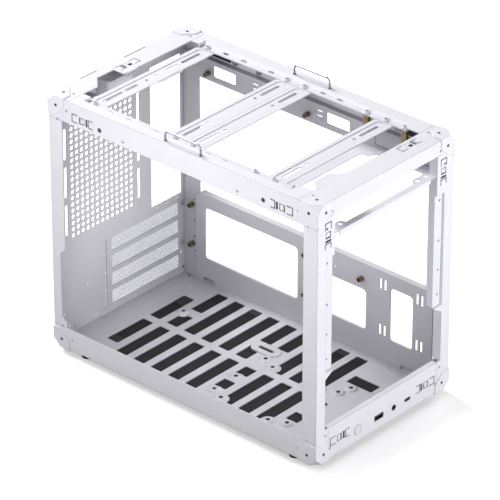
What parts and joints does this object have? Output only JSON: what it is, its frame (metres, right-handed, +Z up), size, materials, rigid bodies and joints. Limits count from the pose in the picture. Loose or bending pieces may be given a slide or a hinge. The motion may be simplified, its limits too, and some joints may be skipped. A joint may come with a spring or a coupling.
{
  "type": "computer case",
  "caption": "Mini-tower computer case, open on its sides and front: welded sheet-steel frame with board tray, fan bars, slotted floor, dust filter and front sockets.",
  "frame": {"origin": "on the ground plane, below the middle of the case", "axes": "+X to the right as seen from the front, +Y to the rear, +Z up"},
  "size_m": [0.2, 0.348, 0.2994],
  "materials": {
    "white_paint": "smooth satin powder coat",
    "cap_paint": "smooth satin powder coat",
    "zinc_screw": "white coated screw",
    "dark_screw": "blackened steel",
    "brass": "dull plated brass",
    "chrome_wire": "polished chrome plate",
    "foot_rubber": "matt black",
    "filter_mesh": "fine black mesh",
    "magnet": "matt black flexible magnet",
    "button_cap": "satin",
    "black_plastic": "fine grain",
    "socket_steel": "nickel plated",
    "board_mask": "solder mask"
  },
  "bodies": {
    "chassis": {"audio_jack": "black_plastic", "bar_bolts": "zinc_screw", "base_pan": "white_paint", "board_spacers": "black_plastic", "board_standoffs": "brass", "brass_pillars": "brass", "cap_screws": "dark_screw", "dust_filter": "filter_mesh", "filter_magnets": "magnet", "front_fan_bar": "white_paint", "front_io_rail": "white_paint", "front_left_bottom_cap": "cap_paint", "front_left_foot": "foot_rubber", "front_left_post": "white_paint", "front_left_top_cap": "cap_paint", "front_right_bottom_cap": "cap_paint", "front_right_foot": "foot_rubber", "front_right_post": "white_paint", "front_right_top_cap": "cap_paint", "front_top_rail": "white_paint", "latch_springs": "dark_screw", "left_handle": "chrome_wire", "left_top_rail": "white_paint", "middle_front_fan_bar": "white_paint", "middle_rear_fan_bar": "white_paint", "panel_rivets": "white_paint", "rail_nuts": "dark_screw", "rear_bracket": "white_paint", "rear_fan_bar": "white_paint", "rear_left_bottom_cap": "cap_paint", "rear_left_foot": "foot_rubber", "rear_left_post": "white_paint", "rear_left_top_cap": "cap_paint", "rear_panel": "white_paint", "rear_right_bottom_cap": "cap_paint", "rear_right_foot": "foot_rubber", "rear_right_post": "white_paint", "rear_right_top_cap": "cap_paint", "rear_top_rail": "white_paint", "right_handle": "chrome_wire", "right_top_rail": "white_paint", "slot_clamp": "white_paint", "slot_cover_1": "white_paint", "slot_cover_2": "white_paint", "slot_cover_3": "white_paint", "slot_cover_4": "white_paint", "slot_screws": "white_paint", "socket_board": "board_mask", "supply_bracket": "white_paint", "switch_housing": "black_plastic", "tray_frame": "white_paint", "tray_panel": "white_paint", "usb_a_port": "socket_steel", "usb_c_port": "socket_steel"},
    "button": {"power_button": "button_cap"}
  },
  "joints": [
    {"name": "power_button_press", "type": "slide", "parent": "chassis", "child": "button", "axis": [0, 1, 0], "range_m": [0, 0.001], "stiffness_N_per_m": 300}
  ]
}
